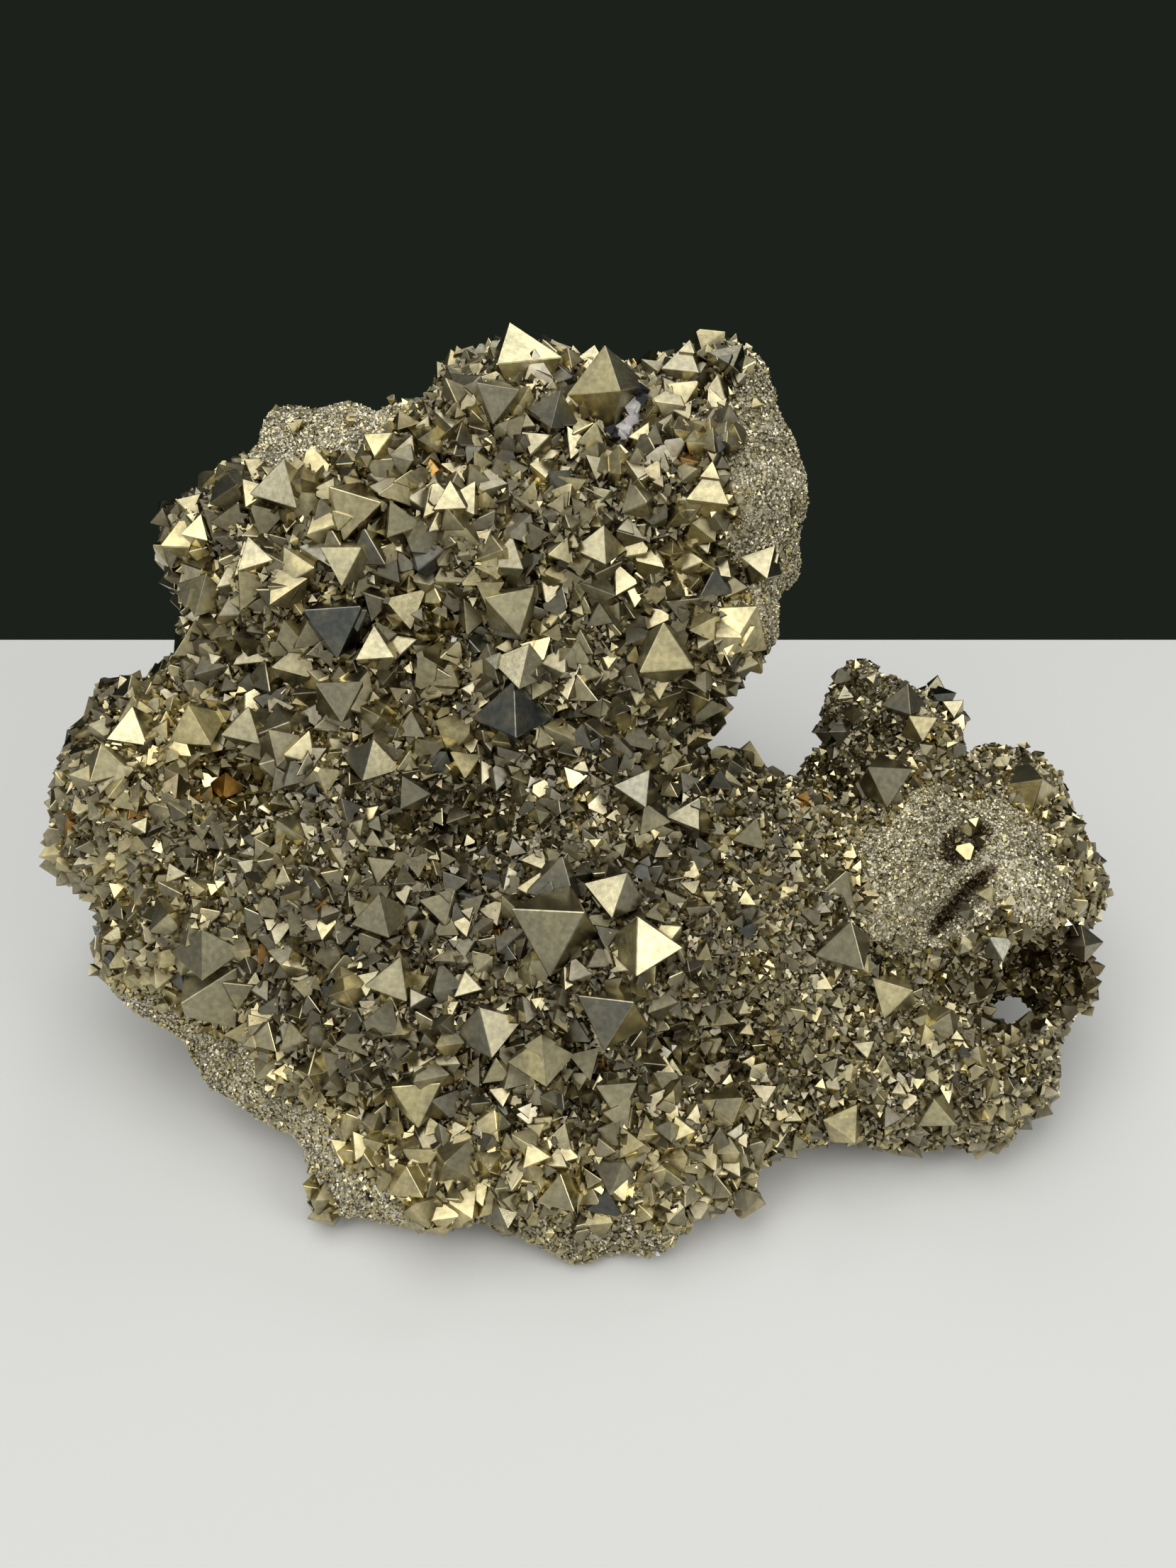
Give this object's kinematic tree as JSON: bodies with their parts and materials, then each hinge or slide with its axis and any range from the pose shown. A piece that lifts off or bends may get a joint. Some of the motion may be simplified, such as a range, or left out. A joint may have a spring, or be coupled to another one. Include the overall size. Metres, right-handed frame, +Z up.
{
  "type": "pyrite cluster",
  "caption": "Freestanding cluster of pyrite: a lumpy metallic mineral mass crusted with octahedral crystals, resting on its flat underside.",
  "frame": {"origin": "middle of the bounding box, on the flat underside", "axes": "+X towards the right block as seen by the viewer, +Y towards the back, +Z up"},
  "size_m": [0.3364, 0.2505, 0.192],
  "materials": {
    "pyrite": "natural iron sulphide mineral with a metallic, pale brass-yellow to grey lustre; satin crystal faces, bright edges and a fine sugary crust between them"
  },
  "bodies": {
    "root": {"pyrite_cluster": "pyrite"}
  },
  "joints": []
}
